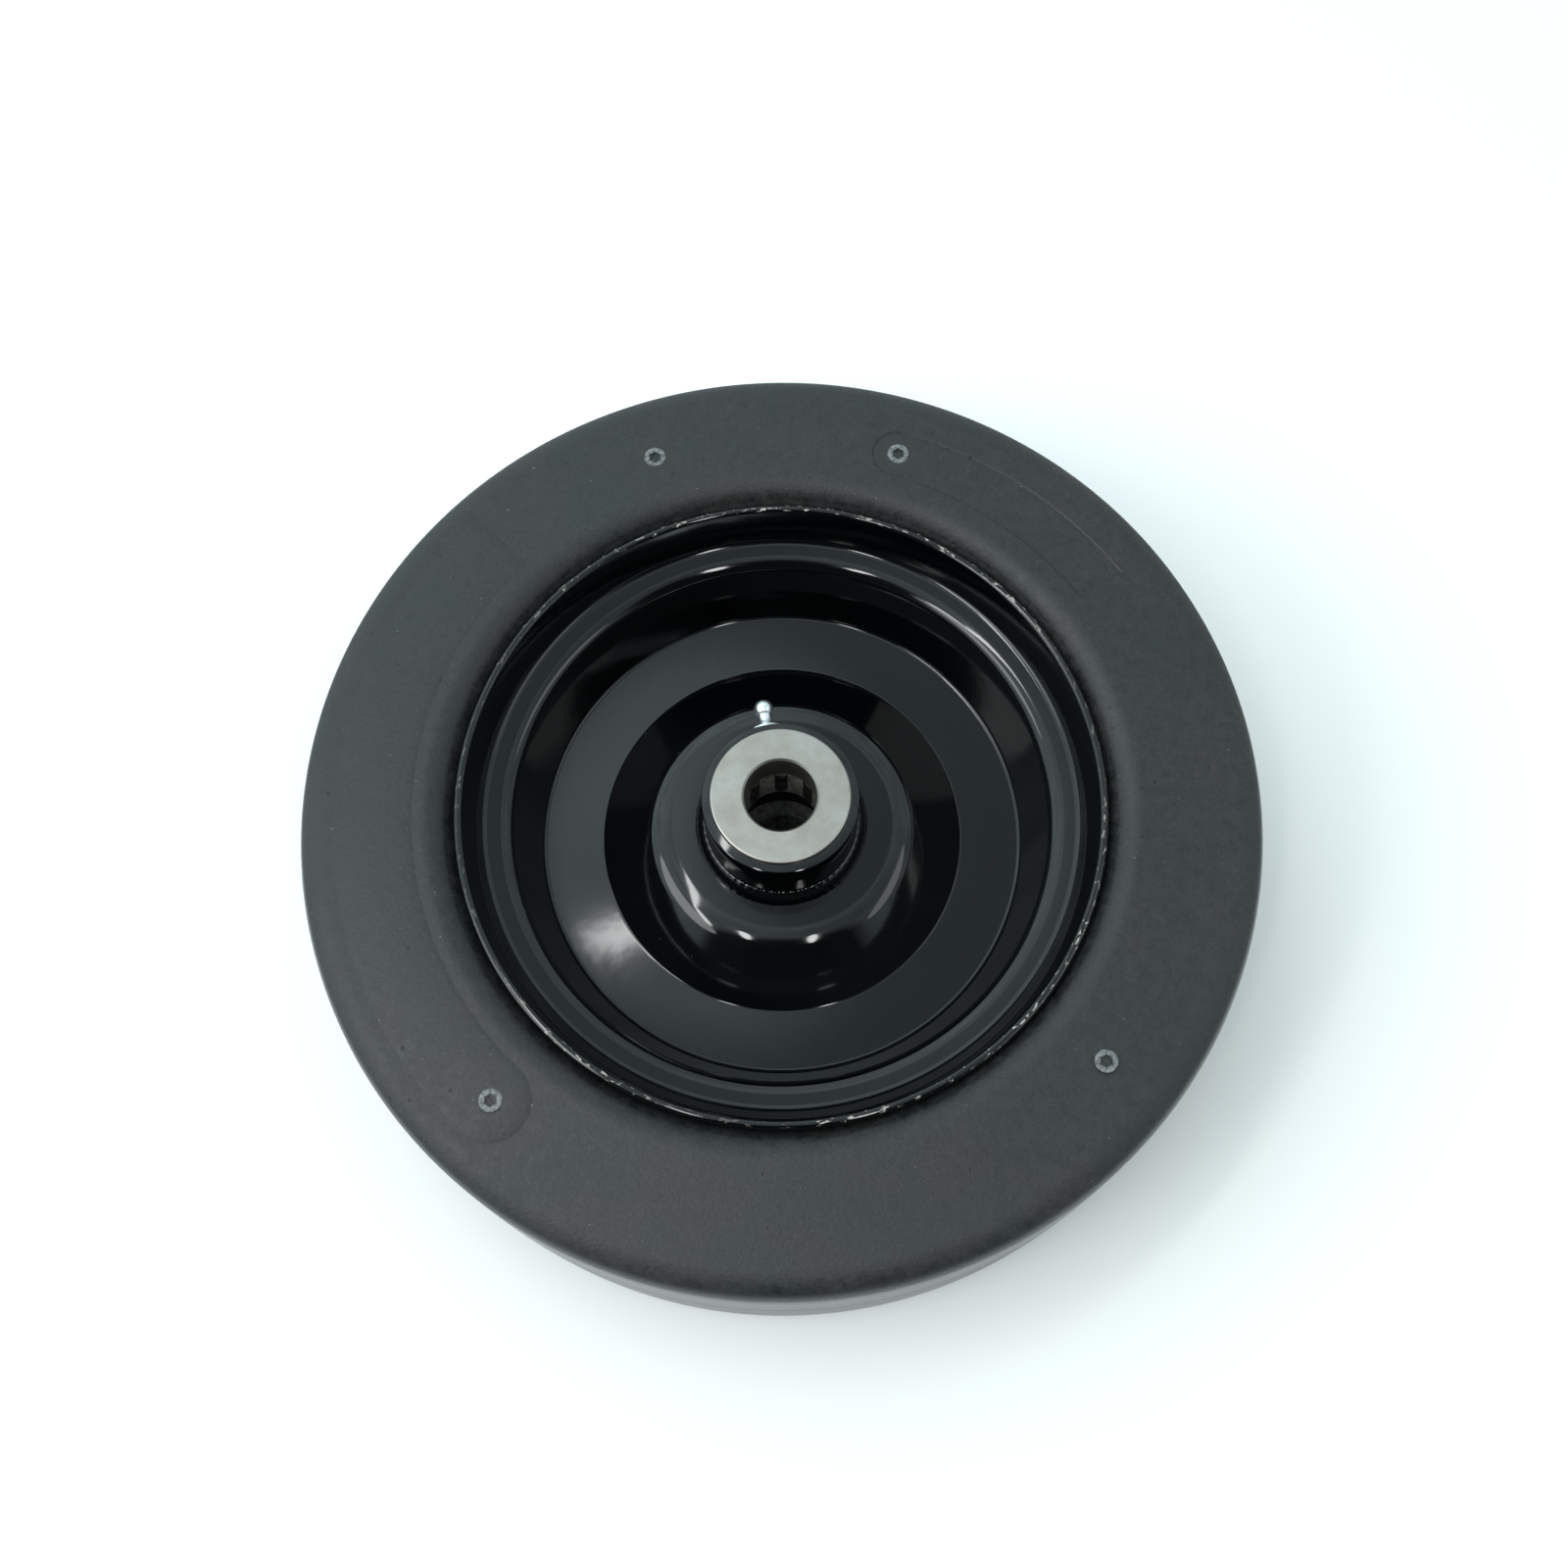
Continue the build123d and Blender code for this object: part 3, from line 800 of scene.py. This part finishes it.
level = ROOM_LEVEL
for direction, low, strength in ROOM_PATCHES:
    level = sum_of(room, "ADD", level, sum_of(room, "MULTIPLY", toward(direction, low), strength))
for direction, low, full, dimmed in SHADES:
    level = sum_of(room, "MULTIPLY", level, span(room, toward(direction, low), 0, full, 1, dimmed))
unevenness = add(room, "ShaderNodeTexNoise", {"Vector": view, "Scale": 7.0, "Detail": 3}).outputs["Fac"]
level = sum_of(room, "MULTIPLY", level, span(room, unevenness, 0.3, 0.7, 0.8, 1.2))
room.links.new(level, room.nodes["Background"].inputs["Strength"])
room.nodes["Background"].inputs["Color"].default_value = linear("#d9ebf0")

# Lamps: soft boxes on the ceiling, each from one place to another in millimetres, with its
# width and its brightness, where a white table in full light is about 2.
CEILING = 1000.0
LAMPS = {
    "strip_near": ((-120, 250), (-553, -197), 60, 14),
    "strip_far": ((-553, -197), (-658, -560), 90, 14),
    "window": ((-1150, 150), (-900, -950), 550, 3.5),
    "east_window": ((1050, 250), (1150, -750), 420, 1.6),
    "overhead_left": ((-205, -260), (-265, -545), 75, 17),
    "overhead_right": ((160, -320), (250, -685), 75, 17),
}
for name, (start, end, width, brightness) in LAMPS.items():
    start, end = Vector((*start, CEILING)) * MM, Vector((*end, CEILING)) * MM
    light = bpy.data.lights.new(name, "AREA")
    light.shape = "ELLIPSE"
    light.size = (end - start).length
    light.size_y = width * MM
    light.energy = brightness * math.pi * (math.pi / 4 * light.size * light.size_y)
    holder = bpy.data.objects.new(name, light)
    bpy.context.scene.collection.objects.link(holder)
    middle = (start + end) / 2
    back = middle.normalized()
    across = back.cross(end - start).normalized()
    turn = Matrix((across.cross(back), across, back)).transposed()
    holder.matrix_world = Matrix.Translation(middle) @ turn.to_4x4()

# Camera: the photographer's place and lens, fitted to the wheel's traced circles.
CAMERA_PLACE = (4.9, -155.4, 507.9)
CAMERA_TURN = (18.63, 0.51, -0.075)
FOCAL_PIXELS = 1948.0
PHOTO_PIXELS = 1600
lens = bpy.data.cameras.new("photo_camera")
lens.sensor_width = 36.0
lens.sensor_fit = "HORIZONTAL"
lens.lens = FOCAL_PIXELS * lens.sensor_width / PHOTO_PIXELS
lens.clip_start = 0.01
camera = bpy.data.objects.new("photo_camera", lens)
camera.location = Vector(CAMERA_PLACE) * MM
camera.rotation_euler = [math.radians(turn) for turn in CAMERA_TURN]
bpy.context.scene.collection.objects.link(camera)
bpy.context.scene.camera = camera
bpy.context.scene.view_settings.view_transform = "Standard"
